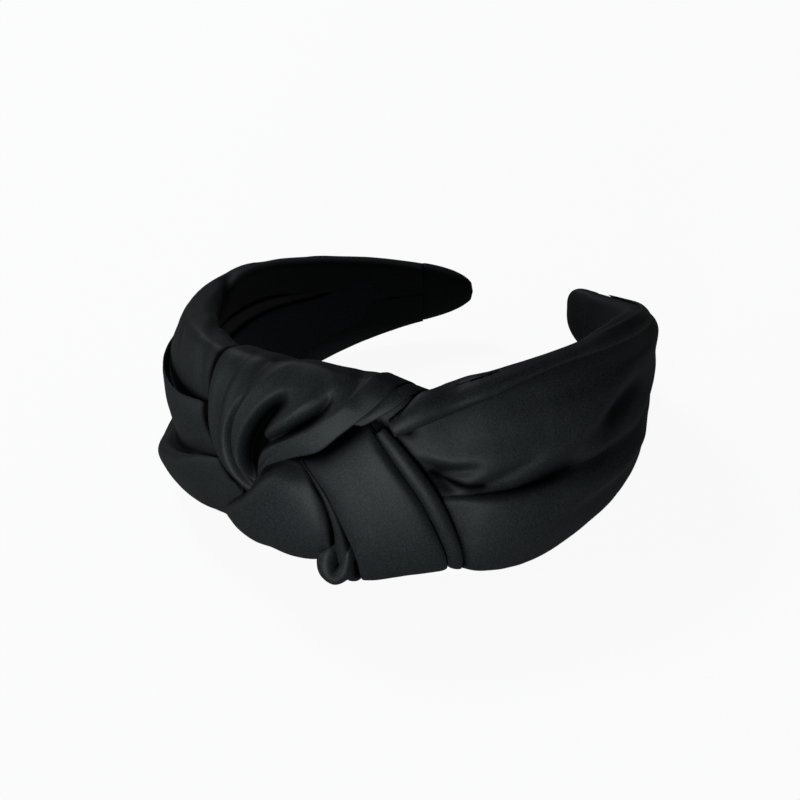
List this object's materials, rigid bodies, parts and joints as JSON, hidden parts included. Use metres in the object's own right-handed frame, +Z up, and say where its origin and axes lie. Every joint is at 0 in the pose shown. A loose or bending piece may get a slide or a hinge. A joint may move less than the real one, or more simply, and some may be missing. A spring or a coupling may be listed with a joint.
{
  "type": "knotted headband",
  "caption": "Wide padded satin headband: an open springy hoop with a twisted cloth knot set off-centre at its crown.",
  "frame": {"origin": "centre of the footprint, on the table that the band rests on", "axes": "+Z up; -Y towards the knot at the crown; +Y towards the open gap between the tips; +X towards the right arm as seen from the front. The hoop leans back 10.8 degrees about X, as it rests on the arms' lower edges"},
  "size_m": [0.1616, 0.1602, 0.0734],
  "materials": {
    "satin": "black satin weave, soft sheen",
    "lining": "matt black ribbed ribbon",
    "hoop_plastic": "moulded black plastic",
    "foam": "open-cell foam",
    "glue": "hot-melt glue"
  },
  "bodies": {
    "crown": {"hoop_core": "hoop_plastic", "foam_pad": "foam", "lining_strip": "lining", "crown_cover": "satin", "knot_over_wrap": "satin", "knot_under_strip": "satin", "knot_front_wrap": "satin", "knot_front_hem": "satin", "knot_side_roll": "satin", "knot_puff": "satin", "knot_top_roll": "satin", "knot_curl": "satin", "knot_glue_upper": "glue", "knot_glue_lower": "glue"},
    "left_arm": {"left_sleeve": "satin", "left_tip_fold": "satin"},
    "right_arm": {"right_sleeve": "satin", "right_tip_fold": "satin"}
  },
  "joints": [
    {"name": "left_arm_flex", "type": "hinge", "parent": "crown", "child": "left_arm", "pos_m": [-0.0285, -0.05403, 0.03464], "axis": [0, 0.1874, 0.9823], "range_deg": [-4, 15], "stiffness_Nm_per_rad": 1.5, "deforming": ["hoop_core", "foam_pad", "lining_strip"]},
    {"name": "right_arm_flex", "type": "hinge", "parent": "crown", "child": "right_arm", "pos_m": [0.04871, -0.04065, 0.03209], "axis": [0, -0.1874, -0.9823], "range_deg": [-4, 15], "stiffness_Nm_per_rad": 1.5}
  ]
}
